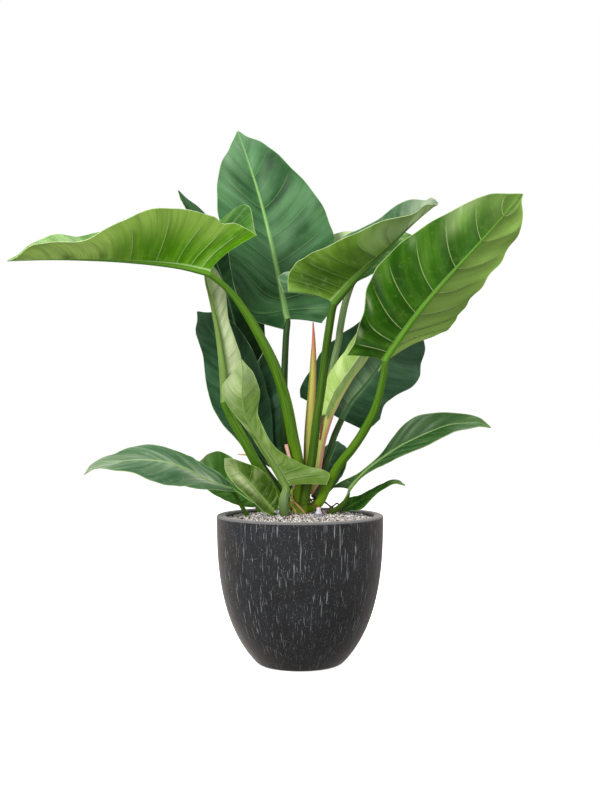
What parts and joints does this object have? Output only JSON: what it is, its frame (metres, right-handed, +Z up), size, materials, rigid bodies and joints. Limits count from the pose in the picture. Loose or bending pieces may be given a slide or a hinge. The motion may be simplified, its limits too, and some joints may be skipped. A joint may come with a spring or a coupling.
{
  "type": "potted imperial green philodendron",
  "caption": "House plant with large pointed glossy leaves on upright fleshy stalks round a short stem, growing in mineral granules in a round dark tapered planter.",
  "frame": {"origin": "the middle of the pot's flat foot, on the surface it stands on", "axes": "+Z up along the pot's axis, -Y towards the viewer of the plant's front, +X to the right in that view"},
  "size_m": [0.8228, 0.3993, 0.9275],
  "materials": {
    "pot": "dark grey matt fibre clay with short pale vertical streaks and specks, the rim a little lighter",
    "granules": "dry mixed mineral grains, pale grey, beige and white with some brown",
    "stem": "green knobbly bark of a young stem",
    "leaf_bright": "bright green underside, pale veins, satin",
    "leaf_blue": "blue-green waxy upper side with a pale midrib",
    "leaf_olive": "olive green underside, darker between the veins",
    "leaf_mid": "mid green, glossy",
    "leaf_dark": "very dark green, waxy",
    "leaf_pale": "pale grey-green silky underside",
    "leaf_new": "pale lime young leaf",
    "stalk_bright": "smooth bright green stalk",
    "stalk_mid": "smooth mid green stalk",
    "stalk_dark": "smooth dark olive stalk",
    "stalk_pale": "smooth grey-green stalk",
    "stalk_new": "yellow-green stalk with a pink side",
    "sheath_pink": "soft sheath, yellow-green going pink at edge and tip",
    "sheath_red": "dark red drying tip",
    "sheath_dry": "dry tan scrap of sheath",
    "root_pale": "pale pinkish aerial root",
    "root_brown": "brown aerial root",
    "gauge_plastic": "milky plastic",
    "gauge_pointer": "orange-red plastic"
  },
  "bodies": {
    "root": {"pot": "pot", "stem": "stem", "leaf_left_long_blade": "leaf_bright", "leaf_left_long_stalk": "stalk_bright", "leaf_back_tall_blade": "leaf_blue", "leaf_back_tall_stalk": "stalk_dark", "leaf_right_folded_blade": "leaf_olive", "leaf_right_folded_stalk": "stalk_mid", "leaf_right_broad_blade": "leaf_bright", "leaf_right_broad_stalk": "stalk_bright", "leaf_right_dark_blade": "leaf_dark", "leaf_right_dark_stalk": "stalk_dark", "leaf_new_pale_blade": "leaf_new", "leaf_new_pale_stalk": "stalk_new", "leaf_left_dark_blade": "leaf_dark", "leaf_left_dark_stalk": "stalk_dark", "leaf_left_pale_upper_blade": "leaf_pale", "leaf_left_pale_upper_stalk": "stalk_mid", "leaf_left_pale_lower_blade": "leaf_pale", "leaf_left_pale_lower_stalk": "stalk_pale", "leaf_back_left_blade": "leaf_dark", "leaf_back_left_stalk": "stalk_dark", "leaf_mid_dark_blade": "leaf_dark", "leaf_mid_dark_stalk": "stalk_dark", "leaf_low_left_blade": "leaf_blue", "leaf_low_left_stalk": "stalk_mid", "leaf_low_left_back_blade": "leaf_mid", "leaf_low_left_back_stalk": "stalk_mid", "leaf_low_front_blade": "leaf_olive", "leaf_low_front_stalk": "stalk_mid", "leaf_low_right_blade": "leaf_mid", "leaf_low_right_stalk": "stalk_mid", "leaf_small_right_blade": "leaf_mid", "leaf_small_right_stalk": "stalk_mid", "leaf_low_back_blade": "leaf_dark", "leaf_low_back_stalk": "stalk_dark", "leaf_back_right_blade": "leaf_blue", "leaf_back_right_stalk": "stalk_pale", "sheath_spear": "sheath_pink", "sheath_stub": "sheath_pink", "sheath_red_tip": "sheath_red", "sheath_dry_scrap": "sheath_dry", "root_pale_left": "root_pale", "root_pale_low": "root_pale", "root_brown_middle": "root_brown", "root_brown_right": "root_brown", "root_brown_loop": "root_brown", "gauge": "gauge_plastic", "gauge_pointer": "gauge_pointer", "granules": "granules"}
  },
  "joints": []
}
